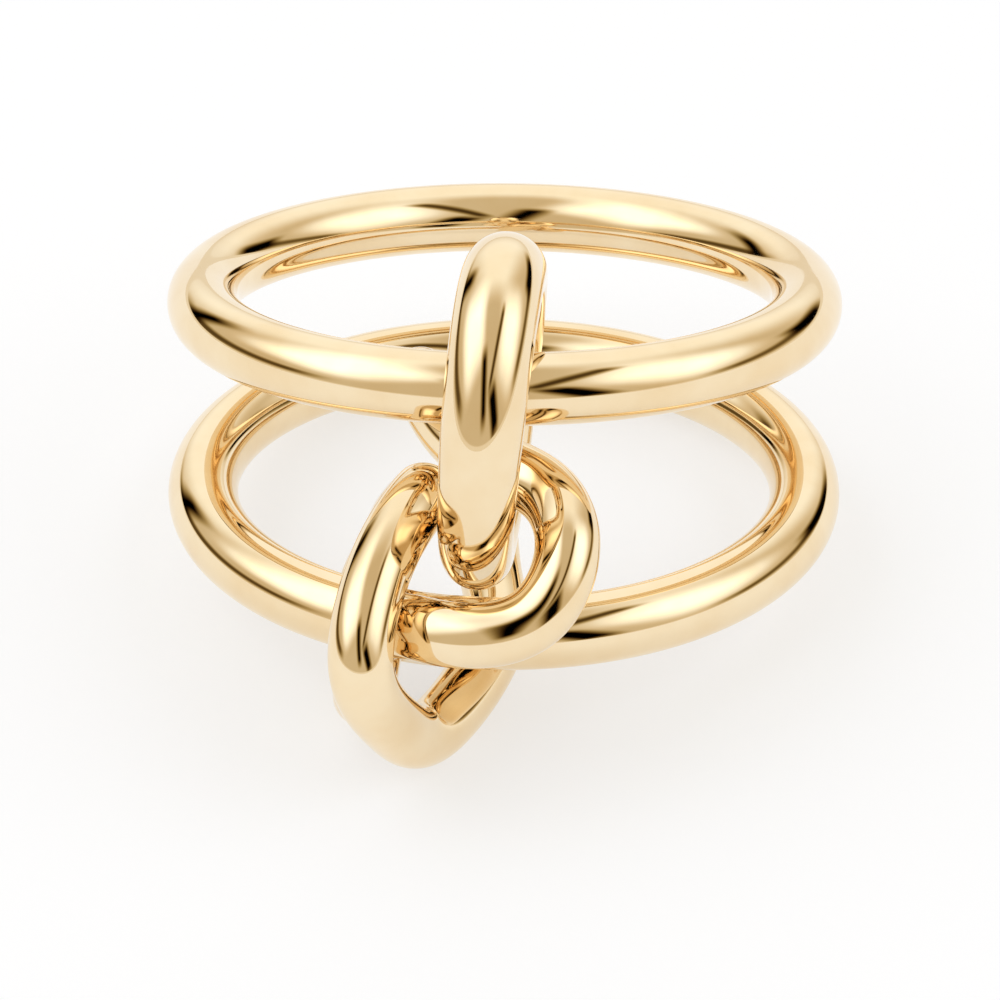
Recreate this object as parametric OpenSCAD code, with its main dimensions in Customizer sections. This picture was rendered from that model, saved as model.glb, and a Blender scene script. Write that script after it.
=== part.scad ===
// Finger ring of two plain round bands, linked at the front by two closed wire links.
// All sizes are in millimetres. The ring lies on its side as it rests on a level surface:
// z = 0 is the surface, -y is the front, +x is the right.
// The four pieces are first laid out on the lower band, whose centre is the origin and
// whose axis is z. at_rest() then tips all of them together on to the surface.

/* [Bands] */
// Inside diameter of both finger bands
finger_d = 17; // [16.6:0.1:17.6]
// Thickness of the round wire of both bands
band_wire = 2.25; // [2.1:0.05:2.35]
// Height of the upper band's centre over the lower band's centre
band_rise = 5.9; // [5.8:0.1:6.3]
// How far the upper band is set back from the lower band
band_setback = 1.65; // [1.3:0.05:1.75]
// Angle by which the upper band's front is raised, in degrees
band_tilt = 9.8; // [9.4:0.2:11]

/* [Upright link] */
// Length of the upright link, outside
link_length = 11.1; // [10.9:0.1:11.4]
// Width of the upright link, outside
link_width = 9.7; // [9.6:0.1:9.9]
// Thickness of its wire where it is thickest, at the front and top
link_wire_thick = 2.6; // [2.4:0.05:2.7]
// Thickness of its wire where it is thinnest, at the back and bottom
link_wire_thin = 2.1; // [1.9:0.05:2.15]
// Angle by which its top leans back, in degrees
link_lean = 5; // [4:0.5:6]
// Angle by which its back swings to the right, in degrees
link_swing = 6; // [5.5:0.5:6.5]
// Angle by which its top leans to the right, in degrees
link_roll = 3.5; // [3:0.5:4]

/* [Knot link] */
// Thickness of the round wire of the knot link
knot_wire = 2; // [1.7:0.05:2.05]

/* [Rest] */
// Side roll at which the ring balances on the surface, in degrees
rest_roll = 1; // [0.6:0.1:1.4]

/* [Hidden] */

band_r = (finger_d + band_wire) / 2;
front_y = -band_r;
gold = [0.85, 0.70, 0.42];
wire_sides = 16;

// The upright link's centreline is a rounded oval with this squareness, 2 being an ellipse.
link_square = 2.1;
link_steps = 72;
// Where the wire is thickest, counted from the front towards the top.
link_thick_at = 60;
link_wire_mean = (link_wire_thick + link_wire_thin) / 2;
link_wire_swell = (link_wire_thick - link_wire_thin) / 2;
link_half_length = (link_length - link_wire_mean) / 2;
link_half_width = (link_width - link_wire_mean) / 2;
link_centre = [-0.4, front_y + 1.3, 6.95];

// The knot link's route, one row for each bend of the wire.
// The columns are the place to the right, the place behind the lower band's front and
// the height over the lower band's centre. The wire is drawn towards each row, and
// rounds the bend inside it.
RIGHT = 0;
BEHIND = 1;
HEIGHT = 2;
knot_steps = 8;
knot_bends = [
    [0.2, 1.2, 5.0],     // through the upright link, over the band
    [1.4, 0.5, 4.8],     // forward to the right
    [2.2, -2.3, 4.5],    // right turn, in front of the band
    [1.2, -3.7, 2.1],    // lower arm
    [-1.9, -3.7, 1.8],   // lower arm, left end
    [-4.1, -1.5, 1.7],   // turns down behind the left arm
    [-4.3, -1.6, -1.7],  // down in front of the band
    [-4.3, 1.2, -2.7],   // back under the band
    [-4.6, 4.3, -1.1],   // up behind the band
    [-3.3, 4.2, 1.2],    // over to the front, behind the left arm
    [-3.3, 2.3, 2.7],    // forward over the band
    [-2.0, 1.0, 4.9],    // top of the left arm
    [-3.7, -2.2, 4.4],   // forward to the left
    [-4.7, -5.8, 1.7],   // left arm, furthest forward
    [-3.4, -3.4, -1.3],  // left arm, down to the foot
    [-2.4, -2.0, -3.1],  // foot, on the surface
    [0.2, 2.7, -1.5],    // back under the band
    [-0.5, 5.6, -1.3],   // up inside the band
    [-0.6, 6.6, 1.3],    // up behind the upright link
    [-0.7, 7.8, 3.2],    // round the back of the upright link
    [-2.7, 7.1, 4.6],    // to its left side
    [-2.7, 5.0, 6.8],    // left of the upright link
    [-1.7, 2.8, 5.2]     // into the upright link
];

function unit(v) = v / norm(v);

// A point turned about the x, y or z axis.
function about_x(p, a) = [p.x, p.y * cos(a) - p.z * sin(a), p.y * sin(a) + p.z * cos(a)];
function about_y(p, a) = [p.x * cos(a) + p.z * sin(a), p.y, p.z * cos(a) - p.x * sin(a)];
function about_z(p, a) = [p.x * cos(a) - p.y * sin(a), p.x * sin(a) + p.y * cos(a), p.z];

// A vector turned about a unit axis that is square to it.
function about(v, axis, a) = v * cos(a) + cross(axis, v) * sin(a);

// A vector with its part along a unit axis taken away, at unit length.
function square_to(v, axis) = unit(v - (v * axis) * axis);

// The upright link's centreline and the half thickness of its wire, from the front upwards.
function oval_reach(a) =
    pow(pow(abs(cos(a)), link_square) + pow(abs(sin(a)), link_square), -1 / link_square);
function oval_point(a) =
    [0, -link_half_width * oval_reach(a) * cos(a), link_half_length * oval_reach(a) * sin(a)];
function link_point(a) =
    link_centre + about_y(about_z(about_x(oval_point(a), -link_lean), -link_swing), link_roll);
link_angles = [for (i = [0 : link_steps - 1]) 360 * i / link_steps];
link_path = [for (a = link_angles) link_point(a)];
link_radii = [
    for (a = link_angles) (link_wire_mean + link_wire_swell * cos(a - link_thick_at)) / 2
];

// The knot link's centreline, a closed smooth curve drawn towards the bends in turn.
knot_points = [for (b = knot_bends) [b[RIGHT], front_y + b[BEHIND], b[HEIGHT]]];
function pull(u) = [
    pow(1 - u, 3),
    3 * pow(u, 3) - 6 * pow(u, 2) + 4,
    -3 * pow(u, 3) + 3 * pow(u, 2) + 3 * u + 1,
    pow(u, 3)
] / 6;
function nearby(points, i) =
    [for (k = [-1 : 2]) points[(i + k + len(points)) % len(points)]];
knot_path = [
    for (i = [0 : len(knot_points) - 1], s = [0 : knot_steps - 1])
        pull(s / knot_steps) * nearby(knot_points, i)
];
knot_radii = [for (p = knot_path) knot_wire / 2];

// A closed round wire along a closed path. Its first side is carried along the path
// without turning, and the turn left at the end is spread evenly over the length.
function tangents(path) = let (n = len(path))
    [for (i = [0 : n - 1]) unit(path[(i + 1) % n] - path[(i + n - 1) % n])];
function carried(tangent, first) = let (n = len(tangent))
    [for (i = 0, v = first; i <= n; i = i + 1, v = square_to(v, tangent[i % n])) v];
function turn_left(from, to, axis) = atan2(cross(from, to) * axis, from * to);

module closed_wire(path, radii) {
    n = len(path);
    tangent = tangents(path);
    first = square_to([1, 1, 0], tangent[0]);
    side = carried(tangent, first);
    twist = turn_left(side[n], first, tangent[0]);
    points = [
        for (i = [0 : n - 1], k = [0 : wire_sides - 1])
            let (a = twist * i / n + 360 * k / wire_sides)
            path[i] + radii[i] * about(side[i], tangent[i], a)
    ];
    faces = [
        for (i = [0 : n - 1], k = [0 : wire_sides - 1])
            let (
                here = i * wire_sides,
                next = (i + 1) % n * wire_sides,
                k2 = (k + 1) % wire_sides
            )
            each [[here + k, next + k, next + k2], [here + k, next + k2, here + k2]]
    ];
    polyhedron(points = points, faces = faces, convexity = 8);
}

module band() {
    rotate_extrude($fn = 180)
    translate([band_r, 0])
    circle(d = band_wire, $fn = 64);
}

// Rest on the surface. The lower band touches it at the back and the knot link's foot at
// the front, so the front is raised until both are equally low.
function rested(p, raise) = about_y(about_x(p, -raise), rest_roll);
function lean_of(axis) = acos(axis.z);
function band_low(raise) = -band_r * sin(lean_of(rested([0, 0, 1], raise))) - band_wire / 2;
function foot_low(raise) = min([for (p = knot_path) rested(p, raise).z]) - knot_wire / 2;
function level_raise(low, high, tries) =
    tries == 0 ? (low + high) / 2
    : foot_low((low + high) / 2) < band_low((low + high) / 2)
        ? level_raise((low + high) / 2, high, tries - 1)
        : level_raise(low, (low + high) / 2, tries - 1);
front_raise = level_raise(0, 20, 16);
rest_lift = -band_low(front_raise);

// The middle of the resting ring's box, so that it stands over the origin.
upper_centre = [0, band_setback, band_rise];
lower_axis = rested([0, 0, 1], front_raise);
upper_axis = rested(about_x([0, 0, 1], -band_tilt), front_raise);
function band_reach(axis, k) = band_r * sqrt(1 - pow(axis[k], 2)) + band_wire / 2;
function box_ends(k) = let (
        upper = rested(upper_centre, front_raise)[k],
        knot = [for (p = knot_path) rested(p, front_raise)[k]],
        link = [for (p = link_path) rested(p, front_raise)[k]]
    ) [
        min(upper - band_reach(upper_axis, k), -band_reach(lower_axis, k),
            min(knot) - knot_wire / 2, min(link) - link_wire_mean / 2),
        max(upper + band_reach(upper_axis, k), band_reach(lower_axis, k),
            max(knot) + knot_wire / 2, max(link) + link_wire_mean / 2)
    ];
function box_middle(k) = (box_ends(k)[0] + box_ends(k)[1]) / 2;

module at_rest() {
    translate([-box_middle(0), -box_middle(1), rest_lift])
    rotate([0, rest_roll, 0])
    rotate([-front_raise, 0, 0])
    children();
}

module upper_band() {
    color(gold)
    at_rest()
    translate(upper_centre)
    rotate([-band_tilt, 0, 0])
    band();
}

module lower_band() {
    color(gold)
    at_rest()
    band();
}

module upright_link() {
    color(gold)
    at_rest()
    closed_wire(link_path, link_radii);
}

module knot_link() {
    color(gold)
    at_rest()
    closed_wire(knot_path, knot_radii);
}

upper_band();
lower_band();
upright_link();
knot_link();
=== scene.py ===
import math

import bpy
from bpy.props import FloatProperty, FloatVectorProperty, IntProperty, PointerProperty
from mathutils import Matrix, Vector


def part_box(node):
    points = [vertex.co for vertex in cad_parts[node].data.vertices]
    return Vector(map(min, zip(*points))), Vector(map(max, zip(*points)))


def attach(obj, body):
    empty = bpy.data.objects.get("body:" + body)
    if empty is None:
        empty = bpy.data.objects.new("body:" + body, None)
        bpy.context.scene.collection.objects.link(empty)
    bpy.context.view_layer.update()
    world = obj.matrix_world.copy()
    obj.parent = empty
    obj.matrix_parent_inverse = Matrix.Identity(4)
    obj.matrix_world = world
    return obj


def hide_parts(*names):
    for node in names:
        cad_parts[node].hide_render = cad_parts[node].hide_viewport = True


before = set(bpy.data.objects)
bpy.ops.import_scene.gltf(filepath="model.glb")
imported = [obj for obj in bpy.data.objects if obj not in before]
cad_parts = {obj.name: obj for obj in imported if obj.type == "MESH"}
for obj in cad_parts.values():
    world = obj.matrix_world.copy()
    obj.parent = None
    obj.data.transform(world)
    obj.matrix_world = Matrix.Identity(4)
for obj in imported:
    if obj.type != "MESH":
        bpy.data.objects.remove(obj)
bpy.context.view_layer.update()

bl_info = {
    "name": "Linked Double-Band Ring",
    "version": (1, 0, 0),
    "blender": (4, 5, 0),
    "location": "View3D > Sidebar > Ring",
    "description": "Builds a polished gold finger ring of two bands, an upright link and a knot link",
    "category": "Add Mesh",
}

MM = 0.001
BODY = "root"

# The knot link's route, one row for each bend of the wire, in millimetres.
# The columns are the place to the right, the place behind the lower band's front and
# the height over the lower band's centre.
KNOT_BENDS = [
    (0.2, 1.2, 5.0),      # through the upright link, over the band
    (1.4, 0.5, 4.8),      # forward to the right
    (2.2, -2.3, 4.5),     # right turn, in front of the band
    (1.2, -3.7, 2.1),     # lower arm
    (-1.9, -3.7, 1.8),    # lower arm, left end
    (-4.1, -1.5, 1.7),    # turns down behind the left arm
    (-4.3, -1.6, -1.7),   # down in front of the band
    (-4.3, 1.2, -2.7),    # back under the band
    (-4.6, 4.3, -1.1),    # up behind the band
    (-3.3, 4.2, 1.2),     # over to the front, behind the left arm
    (-3.3, 2.3, 2.7),     # forward over the band
    (-2.0, 1.0, 4.9),     # top of the left arm
    (-3.7, -2.2, 4.4),    # forward to the left
    (-4.7, -5.8, 1.7),    # left arm, furthest forward
    (-3.4, -3.4, -1.3),   # left arm, down to the foot
    (-2.4, -2.0, -3.1),   # foot, on the surface
    (0.2, 2.7, -1.5),     # back under the band
    (-0.5, 5.6, -1.3),    # up inside the band
    (-0.6, 6.6, 1.3),     # up behind the upright link
    (-0.7, 7.8, 3.2),     # round the back of the upright link
    (-2.7, 7.1, 4.6),     # to its left side
    (-2.7, 5.0, 6.8),     # left of the upright link
    (-1.7, 2.8, 5.2),     # into the upright link
]

# The studio as the ring sees it. Each row is a soft-edged patch: its strength, then in degrees
# its middle to the right of the front and over the horizon, half its width and height, the
# softness of its upright and level edges, and how far its top leans to the left.
SOFTBOXES = [
    (1.15, -86, 49, 26, 21, 18, 11, -4),   # left softbox
    (1.05, 79, 40, 24, 20, 19, 14, 24),    # right softbox
    (0.42, 180, 36, 30, 36, 16, 15, 0),    # white sweep behind
]
DARK_GAPS = [
    (1.0, -8, 36, 6, 24, 5, 8, 17),        # the dark camera side, left of the lens
    (1.0, 25, 17, 8, 17, 5, 7, 24),        # right of the lens
    (0.9, 36, 57, 3.5, 30, 3, 7, -48),     # overhead, between the softboxes
    (1.0, -138, 8, 6, 16, 5, 8, 10),       # between the left softbox and the sweep
    (1.0, 135, 6, 14, 6.5, 6, 4, -24),     # between the right softbox and the sweep
    (0.85, -108, 6.5, 40, 4, 12, 3, 6),    # table edge under the left softbox
    (0.78, 112, 7.5, 34, 3.5, 12, 3, 0),   # table edge under the right softbox
]

# How bright the walls are, and the white sweep low down behind the sheet, then in degrees how
# high over the horizon the sweep reaches, and half the softness of its edge.
WALL_GLOW = 0.67
SWEEP_GLOW = 0.86
SWEEP_TOP = 1.6
SWEEP_SOFT = 0.5

# How bright the brightest light may be, and the tint that each brightness has.
BRIGHTEST = 2.6
LIGHT_TINTS = [
    (0.0, (0.0, 0.0, 0.0)),
    (0.05, (1.0, 0.5, 0.13)),
    (0.2, (1.0, 0.67, 0.23)),
    (0.45, (1.0, 0.78, 0.40)),
    (0.75, (1.0, 0.87, 0.66)),
    (1.05, (1.0, 1.0, 0.97)),
    (2.6, (1.0, 1.0, 1.0)),
]

# The camera: its place and the width of its sensor and lens in millimetres, the way that it
# looks, and its roll in degrees.
CAMERA_PLACE = (1.525, -177.052, 124.916)
CAMERA_LOOK = (-0.00787, 0.82279, -0.5683)
CAMERA_ROLL = -0.914
CAMERA_LENS = 243.1
CAMERA_SENSOR = 36.0


def mm_size(name, description, default):
    """A length property that is given and shown in millimetres."""
    return FloatProperty(name=name, description=description, default=default, min=0.0)


def mm_place(name, description, default):
    """A place property with three values in millimetres."""
    return FloatVectorProperty(name=name, description=description, default=default, size=3)


def angle(name, description, degrees):
    """An angle property, given here in degrees."""
    return FloatProperty(name=name, description=description, default=math.radians(degrees), subtype="ANGLE")


def colour(name, description, hex_colour):
    """A colour property, given here as an sRGB hex value."""
    return FloatVectorProperty(
        name=name, description=description, default=linear(hex_colour)[:3],
        subtype="COLOR", size=3, min=0.0, max=1.0,
    )


def linear(hex_colour):
    """The linear RGBA colour of an sRGB hex value such as F5E0BA."""
    parts = [int(hex_colour[i:i + 2], 16) / 255 for i in (0, 2, 4)]
    return [c / 12.92 if c <= 0.04045 else ((c + 0.055) / 1.055) ** 2.4 for c in parts] + [1.0]


class RingBandSizes(bpy.types.PropertyGroup):
    """Sizes of the two finger bands, in millimetres."""
    finger_d: mm_size("Finger diameter", "Inside diameter of both bands", 17.0)
    wire: mm_size("Band wire", "Thickness of the bands' round wire", 2.25)
    rise: mm_size("Rise", "Height of the upper band's centre over the lower band's", 5.9)
    setback: mm_size("Setback", "How far the upper band is set back", 1.65)
    tilt: angle("Tilt", "Angle by which the upper band's front is raised", 9.8)


class RingLinkSizes(bpy.types.PropertyGroup):
    """Sizes of the upright link, in millimetres."""
    length: mm_size("Length", "Outside length of the upright link", 11.1)
    width: mm_size("Width", "Outside width of the upright link", 9.7)
    wire_thick: mm_size("Thick wire", "Wire thickness at the front and top", 2.6)
    wire_thin: mm_size("Thin wire", "Wire thickness at the back and bottom", 2.1)
    thick_at: angle("Thickest at", "Where the wire is thickest, from the front towards the top", 60.0)
    square: FloatProperty(
        name="Squareness", description="2 makes an ellipse, more a squarer oval", default=2.1, min=1.0,
    )
    lean: angle("Lean", "Angle by which the top leans back", 5.0)
    swing: angle("Swing", "Angle by which the back swings to the right", 6.0)
    roll: angle("Roll", "Angle by which the top leans to the right", 3.5)
    place: mm_place("Place", "Right, behind the lower band's front, and up", (-0.4, 1.3, 6.95))


class RingKnotSizes(bpy.types.PropertyGroup):
    """Sizes of the knot link, in millimetres."""
    wire: mm_size("Knot wire", "Thickness of the knot link's round wire", 2.0)


class RingRest(bpy.types.PropertyGroup):
    """How the ring lies on the surface."""
    front_raise: angle("Front raise", "Angle by which the ring's front stands higher than its back", 6.602)
    roll: angle("Roll", "Side roll at which the ring balances", 1.0)


class RingFinish(bpy.types.PropertyGroup):
    """Colour and polish of the gold."""
    gold: colour("Gold", "Colour of the polished gold", "F7E3BF")
    warm_gold: colour("Warm gold", "Colour of the slightly warmer patches", "F2D9AF")
    gloss_low: FloatProperty(
        name="Finest polish", description="Roughness where best polished", default=0.02,
        min=0.0, max=1.0, subtype="FACTOR",
    )
    gloss_high: FloatProperty(
        name="Handled polish", description="Roughness where most handled", default=0.06,
        min=0.0, max=1.0, subtype="FACTOR",
    )
    patch_size: mm_size("Patch size", "Length of the warmer and duller patches", 2.5)
    wave_size: mm_size("Wave size", "Length of the polish's faint waves", 1.6)
    wave_depth: mm_size("Wave depth", "Depth of the polish's faint waves", 0.002)
    line_size: mm_size("Buffing line width", "Width of the fine buffing lines", 0.05)
    line_depth: mm_size("Buffing line depth", "Depth of the fine buffing lines", 0.00001)


class RingStudio(bpy.types.PropertyGroup):
    """The stage that the ring lies on."""
    floor_size: FloatProperty(
        name="Floor size", description="Width of the sheet", default=1.2, min=0.1, subtype="DISTANCE",
    )
    sheet: colour("Opal sheet", "Colour of the matt white sheet", "B1B4BB")
    glow: FloatProperty(
        name="Glow", description="Light that comes up through the sheet", default=0.575, min=0.0,
    )


class RingMesh(bpy.types.PropertyGroup):
    """How finely the wires are drawn."""
    sides: IntProperty(name="Sides", description="Faces around the wire", default=64, min=12)
    band_steps: IntProperty(name="Band steps", description="Steps along a band", default=720, min=48)
    link_steps: IntProperty(name="Link steps", description="Steps along a link", default=600, min=48)


def at_rest(points):
    """Places beside the lower band's centre, in millimetres, moved into the CAD frame in metres."""
    rest = bpy.context.scene.ring_rest
    turn = Matrix.Rotation(rest.roll, 3, "Y") @ Matrix.Rotation(-rest.front_raise, 3, "X")
    low, high = (Vector(corner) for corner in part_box("lower_band"))
    centre = (low + high) / 2
    return [centre + turn @ Vector(point) * MM for point in points]


def band_radius():
    """Radius of a band's centreline in millimetres."""
    bands = bpy.context.scene.ring_bands
    return (bands.finger_d + bands.wire) / 2


def add_node(tree, kind, settings=None, *values, **named_values):
    """Adds a node, sets its fields, and fills or links its inputs, in their order or by name."""
    node = tree.nodes.new(kind)
    for field, value in (settings or {}).items():
        setattr(node, field, value)
    sockets = [node.inputs[i] for i in range(len(values))]
    sockets += [node.inputs[name.replace("_", " ")] for name in named_values]
    for socket, value in zip(sockets, [*values, *named_values.values()]):
        if isinstance(value, bpy.types.NodeSocket):
            tree.links.new(value, socket)
        else:
            socket.default_value = value
    return node


WIRE_INPUTS = {
    "Curve": "NodeSocketGeometry",
    "Wire thickness": "NodeSocketFloat",
    "Steps": "NodeSocketInt",
    "Sides": "NodeSocketInt",
    "Finish": "NodeSocketMaterial",
}


def wire_tree():
    """The Geometry Nodes tree that turns a closed curve into a round wire."""
    tree = bpy.data.node_groups.get("Round wire")
    if tree:
        return tree
    tree = bpy.data.node_groups.new("Round wire", "GeometryNodeTree")
    sockets = tree.interface
    for name, kind in WIRE_INPUTS.items():
        sockets.new_socket(name, in_out="INPUT", socket_type=kind)
    sockets.new_socket("Wire", in_out="OUTPUT", socket_type="NodeSocketGeometry")
    given = tree.nodes.new("NodeGroupInput").outputs
    even = add_node(
        tree, "GeometryNodeResampleCurve", {"mode": "COUNT"},
        Curve=given["Curve"], Count=given["Steps"],
    )
    half = add_node(tree, "ShaderNodeMath", {"operation": "MULTIPLY"}, given["Wire thickness"], 0.5)
    section = add_node(
        tree, "GeometryNodeCurvePrimitiveCircle",
        Resolution=given["Sides"], Radius=half.outputs[0],
    )
    swell = tree.nodes.new("GeometryNodeInputRadius")
    skin = add_node(
        tree, "GeometryNodeCurveToMesh",
        Curve=even.outputs["Curve"], Profile_Curve=section.outputs["Curve"], Scale=swell.outputs["Radius"],
    )
    smooth = add_node(tree, "GeometryNodeSetShadeSmooth", Geometry=skin.outputs["Mesh"])
    real = add_node(tree, "GeometryNodeRealizeInstances", Geometry=smooth.outputs["Geometry"])
    finish = add_node(
        tree, "GeometryNodeSetMaterial",
        Geometry=real.outputs["Geometry"], Material=given["Finish"],
    )
    add_node(tree, "NodeGroupOutput", Wire=finish.outputs["Geometry"])
    return tree


def closed_curve(name, points, kind, swells=None):
    """A closed curve object through, or drawn towards, the given places in millimetres."""
    data = bpy.data.curves.new(name, "CURVE")
    data.dimensions = "3D"
    spline = data.splines.new(kind)
    spline.points.add(len(points) - 1)
    for i, place in enumerate(at_rest(points)):
        spline.points[i].co = (*place, 1.0)
        spline.points[i].radius = swells[i] if swells else 1.0
    spline.use_cyclic_u = True
    if kind == "NURBS":
        spline.order_u = 4
        spline.resolution_u = 64
    curve = bpy.data.objects.new(name, data)
    bpy.context.collection.objects.link(curve)
    return curve


def make_wire(name, points, kind, thickness, steps, swells=None):
    """Builds one closed round wire as a mesh piece that stands for the CAD node of its name."""
    curve = closed_curve(name + "_route", points, kind, swells)
    tree = wire_tree()
    modifier = curve.modifiers.new("Round wire", "NODES")
    modifier.node_group = tree
    values = {
        "Wire thickness": thickness * MM,
        "Steps": steps,
        "Sides": bpy.context.scene.ring_mesh.sides,
        "Finish": polished_gold(),
    }
    for item in tree.interface.items_tree:
        if item.in_out == "INPUT" and item.name in values:
            modifier[item.identifier] = values[item.name]
    graph = bpy.context.evaluated_depsgraph_get()
    mesh = bpy.data.meshes.new_from_object(curve.evaluated_get(graph))
    if not mesh.polygons:
        raise RuntimeError("the wire of " + name + " has no faces")
    bpy.data.objects.remove(curve)
    piece = bpy.data.objects.new(name + "_metal", mesh)
    bpy.context.collection.objects.link(piece)
    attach(piece, BODY)
    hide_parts(name)
    return piece


def polished_gold():
    """Polished 18 karat yellow gold, buffed by hand: nearly mirror bright and warm."""
    gold = bpy.data.materials.get("Polished 18k yellow gold")
    if gold:
        return gold
    finish = bpy.context.scene.ring_finish
    gold = bpy.data.materials.new("Polished 18k yellow gold")
    gold.use_nodes = True
    tree = gold.node_tree
    tree.nodes.clear()
    place = tree.nodes.new("ShaderNodeTexCoord").outputs["Object"]
    # Patches a few millimetres long where the alloy looks warmer and the polish is duller.
    patches = add_node(
        tree, "ShaderNodeTexNoise",
        Vector=place, Scale=1 / (finish.patch_size * MM), Detail=3.0, Roughness=0.55,
    )
    tint = add_node(tree, "ShaderNodeValToRGB", Fac=patches.outputs["Fac"])
    shades = ((0.35, finish.gold), (0.7, finish.warm_gold))
    for stop, (position, shade) in zip(tint.color_ramp.elements, shades):
        stop.position = position
        stop.color = (*shade, 1.0)
    gloss = add_node(
        tree, "ShaderNodeMapRange",
        Value=patches.outputs["Fac"], From_Min=0.3, From_Max=0.7,
        To_Min=finish.gloss_low, To_Max=finish.gloss_high,
    )
    # Faint waves that hand polishing leaves, which make the reflections run unevenly.
    waves = add_node(
        tree, "ShaderNodeTexNoise",
        Vector=place, Scale=1 / (finish.wave_size * MM), Detail=1.0, Roughness=0.4,
    )
    wavy = add_node(
        tree, "ShaderNodeBump",
        Height=waves.outputs["Fac"], Distance=finish.wave_depth * MM, Strength=1.0,
    )
    # Lines of the last buffing, drawn wider than real ones so that they veil the highlights.
    lines = add_node(
        tree, "ShaderNodeTexNoise",
        Vector=place, Scale=1 / (finish.line_size * MM), Detail=2.0, Roughness=0.6,
    )
    buffed = add_node(
        tree, "ShaderNodeBump",
        Height=lines.outputs["Fac"], Distance=finish.line_depth * MM, Strength=1.0,
        Normal=wavy.outputs["Normal"],
    )
    shader = add_node(
        tree, "ShaderNodeBsdfPrincipled",
        Base_Color=tint.outputs["Color"], Metallic=1.0, Roughness=gloss.outputs["Result"],
        Normal=buffed.outputs["Normal"],
    )
    add_node(tree, "ShaderNodeOutputMaterial", Surface=shader.outputs["BSDF"])
    return gold


def opal_sheet():
    """Matt opal acrylic lit from below as well, which keeps the shadows on it pale."""
    studio = bpy.context.scene.ring_studio
    sheet = bpy.data.materials.new("Opal acrylic sheet")
    sheet.use_nodes = True
    tree = sheet.node_tree
    tree.nodes.clear()
    matt = add_node(tree, "ShaderNodeBsdfDiffuse", Color=(*studio.sheet, 1.0))
    light = add_node(tree, "ShaderNodeEmission", Strength=studio.glow)
    both = add_node(tree, "ShaderNodeAddShader", None, matt.outputs["BSDF"], light.outputs["Emission"])
    add_node(tree, "ShaderNodeOutputMaterial", Surface=both.outputs["Shader"])
    return sheet


def patch(tree, direction, row):
    """How far a direction lies inside one soft-edged patch of the studio, from 0 to 1."""
    side, height, half_width, half_height, side_soft, height_soft, lean = (math.radians(v) for v in row)
    level = Vector((math.cos(side), math.sin(side), 0))
    ahead = Vector((math.sin(side), -math.cos(side), 0))
    middle = ahead * math.cos(height) + Vector((0, 0, math.sin(height)))
    upward = middle.cross(level)
    right = level * math.cos(lean) + upward * math.sin(lean)
    up = upward * math.cos(lean) - level * math.sin(lean)
    dot = {"operation": "DOT_PRODUCT"}
    along, across, over = (
        add_node(tree, "ShaderNodeVectorMath", dot, direction, axis).outputs["Value"]
        for axis in (middle, right, up)
    )
    turned = add_node(tree, "ShaderNodeMath", {"operation": "ARCTAN2"}, across, along)
    raised = add_node(tree, "ShaderNodeMath", {"operation": "ARCSINE"}, over)
    inside = []
    for off, half, soft in ((turned, half_width, side_soft), (raised, half_height, height_soft)):
        distance = add_node(tree, "ShaderNodeMath", {"operation": "ABSOLUTE"}, off.outputs[0])
        edge = add_node(
            tree, "ShaderNodeMapRange", {"interpolation_type": "SMOOTHSTEP"},
            Value=distance.outputs[0], From_Min=half - soft, From_Max=half + soft,
            To_Min=1.0, To_Max=0.0,
        )
        inside.append(edge.outputs["Result"])
    return add_node(tree, "ShaderNodeMath", {"operation": "MULTIPLY"}, *inside).outputs[0]


def studio_light():
    """The studio round the ring: tan walls, white softboxes and a few dark gaps between them."""
    world = bpy.data.worlds.new("Studio")
    world.use_nodes = True
    tree = world.node_tree
    tree.nodes.clear()
    direction = tree.nodes.new("ShaderNodeTexCoord").outputs["Generated"]
    scaled_sum = {"operation": "MULTIPLY_ADD"}
    glow = WALL_GLOW
    for strength, *row in SOFTBOXES:
        lit = patch(tree, direction, row)
        glow = add_node(tree, "ShaderNodeMath", scaled_sum, lit, strength, glow).outputs[0]
    for strength, *row in DARK_GAPS:
        dark = patch(tree, direction, row)
        kept = add_node(tree, "ShaderNodeMath", scaled_sum, dark, -strength, 1.0)
        less = add_node(tree, "ShaderNodeMath", {"operation": "MULTIPLY"}, glow, kept.outputs[0])
        glow = less.outputs[0]
    upward = add_node(tree, "ShaderNodeVectorMath", {"operation": "DOT_PRODUCT"}, direction, (0, 0, 1))
    height = add_node(tree, "ShaderNodeMath", {"operation": "ARCSINE"}, upward.outputs["Value"])
    sweep = add_node(
        tree, "ShaderNodeMapRange", {"interpolation_type": "SMOOTHSTEP"}, Value=height.outputs[0],
        From_Min=math.radians(SWEEP_TOP - SWEEP_SOFT), From_Max=math.radians(SWEEP_TOP + SWEEP_SOFT),
        To_Min=1.0, To_Max=0.0,
    )
    whole = add_node(
        tree, "ShaderNodeMix", {"data_type": "FLOAT"},
        Factor=sweep.outputs["Result"], A=glow, B=SWEEP_GLOW,
    )
    share = add_node(tree, "ShaderNodeMath", {"operation": "DIVIDE"}, whole.outputs["Result"], BRIGHTEST)
    ramp = add_node(tree, "ShaderNodeValToRGB", Fac=share.outputs[0])
    stops = ramp.color_ramp.elements
    while len(stops) < len(LIGHT_TINTS):
        stops.new(0.5)
    for stop, (level, tint) in zip(stops, LIGHT_TINTS):
        stop.position = level / BRIGHTEST
        stop.color = [min(c * level / BRIGHTEST, 1.0) for c in tint] + [1.0]
    light = add_node(tree, "ShaderNodeBackground", Color=ramp.outputs["Color"], Strength=BRIGHTEST)
    add_node(tree, "ShaderNodeOutputWorld", Surface=light.outputs["Background"])
    return world


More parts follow.
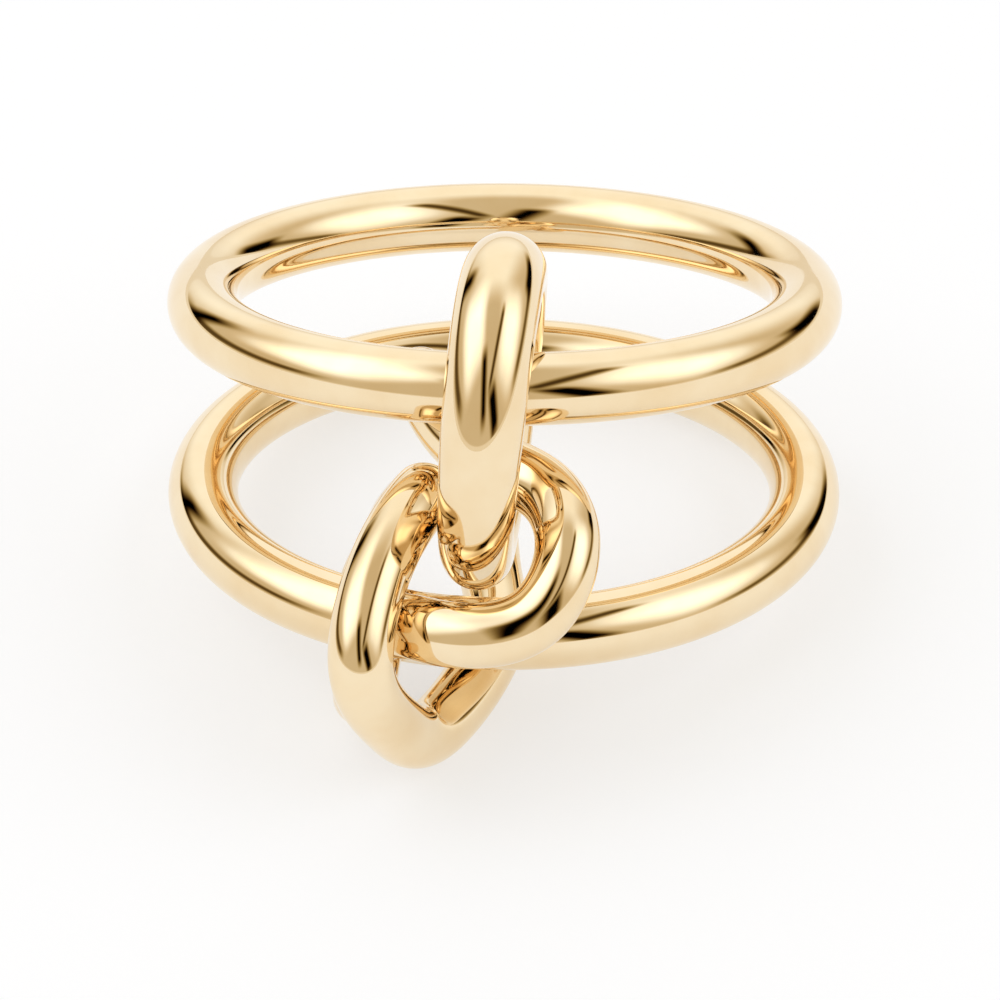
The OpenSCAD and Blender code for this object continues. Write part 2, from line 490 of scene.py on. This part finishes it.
class RING_OT_bands(bpy.types.Operator):
    """Make the two plain round finger bands"""
    bl_idname = "ring.bands"
    bl_label = "Finger bands"

    def execute(self, context):
        bands = context.scene.ring_bands
        steps = context.scene.ring_mesh.band_steps
        angles = [2 * math.pi * i / steps for i in range(steps)]
        circle = [Vector((math.sin(a), -math.cos(a), 0)) * band_radius() for a in angles]
        make_wire("lower_band", circle, "POLY", bands.wire, steps)
        tilt = Matrix.Rotation(-bands.tilt, 3, "X")
        centre = Vector((0, bands.setback, bands.rise))
        make_wire("upper_band", [centre + tilt @ p for p in circle], "POLY", bands.wire, steps)
        return {"FINISHED"}


class RING_OT_upright_link(bpy.types.Operator):
    """Make the closed oval link that stands round the upper band's front"""
    bl_idname = "ring.upright_link"
    bl_label = "Upright link"

    def execute(self, context):
        link = context.scene.ring_link
        steps = context.scene.ring_mesh.link_steps
        wire = (link.wire_thick + link.wire_thin) / 2
        swell = (link.wire_thick - link.wire_thin) / 2
        half_length = (link.length - wire) / 2
        half_width = (link.width - wire) / 2
        turn = (
            Matrix.Rotation(link.roll, 3, "Y")
            @ Matrix.Rotation(-link.swing, 3, "Z")
            @ Matrix.Rotation(-link.lean, 3, "X")
        )
        centre = Vector((link.place[0], link.place[1] - band_radius(), link.place[2]))
        points = []
        swells = []
        for i in range(steps):
            a = 2 * math.pi * i / steps
            ahead, over = math.cos(a), math.sin(a)
            reach = (abs(ahead) ** link.square + abs(over) ** link.square) ** (-1 / link.square)
            oval = Vector((0, -half_width * reach * ahead, half_length * reach * over))
            points.append(centre + turn @ oval)
            swells.append((wire + swell * math.cos(a - link.thick_at)) / wire)
        make_wire("upright_link", points, "POLY", wire, steps, swells)
        return {"FINISHED"}


class RING_OT_knot_link(bpy.types.Operator):
    """Make the closed wire that runs through the upright link and twice round the lower band"""
    bl_idname = "ring.knot_link"
    bl_label = "Knot link"

    def execute(self, context):
        front = -band_radius()
        bends = [(right, front + behind, height) for right, behind, height in KNOT_BENDS]
        make_wire(
            "knot_link", bends, "NURBS",
            context.scene.ring_knot.wire, context.scene.ring_mesh.link_steps,
        )
        return {"FINISHED"}


class RING_OT_stage(bpy.types.Operator):
    """Make the pale floor, the soft studio light and the camera"""
    bl_idname = "ring.stage"
    bl_label = "Stage"

    def execute(self, context):
        scene = context.scene
        scene.view_settings.view_transform = "Standard"
        half = scene.ring_studio.floor_size / 2
        corners = [(-half, -half, 0), (half, -half, 0), (half, half, 0), (-half, half, 0)]
        mesh = bpy.data.meshes.new("floor")
        mesh.from_pydata(corners, [], [(0, 1, 2, 3)])
        mesh.materials.append(opal_sheet())
        floor = bpy.data.objects.new("floor", mesh)
        context.collection.objects.link(floor)
        scene.world = studio_light()
        lens = bpy.data.cameras.new("camera")
        lens.lens = CAMERA_LENS
        lens.sensor_width = CAMERA_SENSOR
        camera = bpy.data.objects.new("camera", lens)
        context.collection.objects.link(camera)
        camera.location = Vector(CAMERA_PLACE) * MM
        level = Vector(CAMERA_LOOK).to_track_quat("-Z", "Y").to_matrix()
        camera.rotation_euler = (level @ Matrix.Rotation(math.radians(CAMERA_ROLL), 3, "Z")).to_euler()
        scene.camera = camera
        return {"FINISHED"}


class RING_PT_panel(bpy.types.Panel):
    """Lists the ring's sizes and colours and the steps that build it"""
    bl_label = "Linked double-band ring"
    bl_idname = "RING_PT_panel"
    bl_space_type = "VIEW_3D"
    bl_region_type = "UI"
    bl_category = "Ring"

    def draw(self, context):
        for name, group in GROUPS.items():
            for field in group.__annotations__:
                self.layout.prop(getattr(context.scene, name), field)
        for operator in STEPS:
            self.layout.operator(operator.bl_idname)


GROUPS = {
    "ring_bands": RingBandSizes,
    "ring_link": RingLinkSizes,
    "ring_knot": RingKnotSizes,
    "ring_rest": RingRest,
    "ring_finish": RingFinish,
    "ring_mesh": RingMesh,
    "ring_studio": RingStudio,
}
STEPS = (RING_OT_bands, RING_OT_upright_link, RING_OT_knot_link, RING_OT_stage)
CLASSES = (*GROUPS.values(), *STEPS, RING_PT_panel)


def register():
    for cls in CLASSES:
        bpy.utils.register_class(cls)
    for name, group in GROUPS.items():
        setattr(bpy.types.Scene, name, PointerProperty(type=group))


def unregister():
    for name in GROUPS:
        delattr(bpy.types.Scene, name)
    for cls in reversed(CLASSES):
        bpy.utils.unregister_class(cls)


def main():
    register()
    bpy.ops.ring.bands()
    bpy.ops.ring.upright_link()
    bpy.ops.ring.knot_link()
    bpy.ops.ring.stage()


if __name__ == "__main__":
    main()
